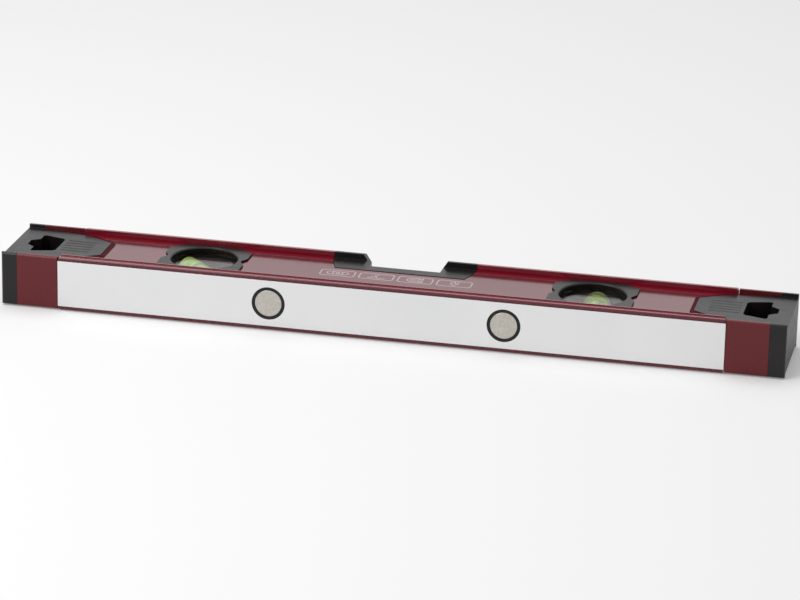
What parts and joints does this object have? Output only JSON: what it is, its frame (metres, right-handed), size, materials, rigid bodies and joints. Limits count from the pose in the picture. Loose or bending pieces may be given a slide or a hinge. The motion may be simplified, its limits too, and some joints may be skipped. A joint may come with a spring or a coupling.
{
  "type": "magnetic level",
  "caption": "Hollow lipped aluminium spirit level with moulded end caps and hanging holes, round side vials, a vial in a top-edge window, and magnets flush in the milled measuring face.",
  "frame": {"origin": "middle of the underside, the level lying on one side face", "axes": "+X along the level, -Y out of the milled measuring face, +Y out of the top edge, +Z out of the side face that is up"},
  "size_m": [0.4, 0.05, 0.029],
  "materials": {
    "coated_profile": "satin",
    "cap_plastic": "satin",
    "collar_plastic": "satin",
    "bezel_plastic": "satin",
    "lens_clear": "polished",
    "vial_clear": "polished",
    "stopper_plastic": "satin",
    "marker_black": "matte",
    "bubble_clear": "polished",
    "magnet_metal": "satin",
    "bush_plastic": "matte",
    "backing_steel": "satin"
  },
  "bodies": {
    "level": {"profile": "coated_profile", "left_end_cap": "cap_plastic", "right_end_cap": "cap_plastic", "left_end_collar": "collar_plastic", "right_end_collar": "collar_plastic", "left_upper_bezel": "bezel_plastic", "left_lower_bezel": "bezel_plastic", "right_upper_bezel": "bezel_plastic", "right_lower_bezel": "bezel_plastic", "left_upper_lens": "lens_clear", "left_lower_lens": "lens_clear", "right_upper_lens": "lens_clear", "right_lower_lens": "lens_clear", "left_vial_carrier": "bezel_plastic", "right_vial_carrier": "bezel_plastic", "window_housing": "bezel_plastic", "left_vial": "vial_clear", "right_vial": "vial_clear", "centre_vial": "vial_clear", "left_stopper": "stopper_plastic", "right_stopper": "stopper_plastic", "centre_stopper": "stopper_plastic", "left_marker_rings": "marker_black", "right_marker_rings": "marker_black", "centre_marker_rings": "marker_black", "left_magnet": "magnet_metal", "right_magnet": "magnet_metal", "left_magnet_bush": "bush_plastic", "right_magnet_bush": "bush_plastic", "left_magnet_backing": "backing_steel", "right_magnet_backing": "backing_steel"},
    "left_bubble_body": {"left_bubble": "bubble_clear"},
    "right_bubble_body": {"right_bubble": "bubble_clear"},
    "centre_bubble_body": {"centre_bubble": "bubble_clear"}
  },
  "joints": [
    {"name": "left_bubble_slide", "type": "slide", "parent": "level", "child": "left_bubble_body", "axis": [0.7071, -0.7071, 0], "range_m": [-0.0085, 0.0085]},
    {"name": "right_bubble_slide", "type": "slide", "parent": "level", "child": "right_bubble_body", "axis": [0, 1, 0], "range_m": [-0.0085, 0.0085]},
    {"name": "centre_bubble_slide", "type": "slide", "parent": "level", "child": "centre_bubble_body", "axis": [1, 0, 0], "range_m": [-0.0085, 0.0085]}
  ]
}
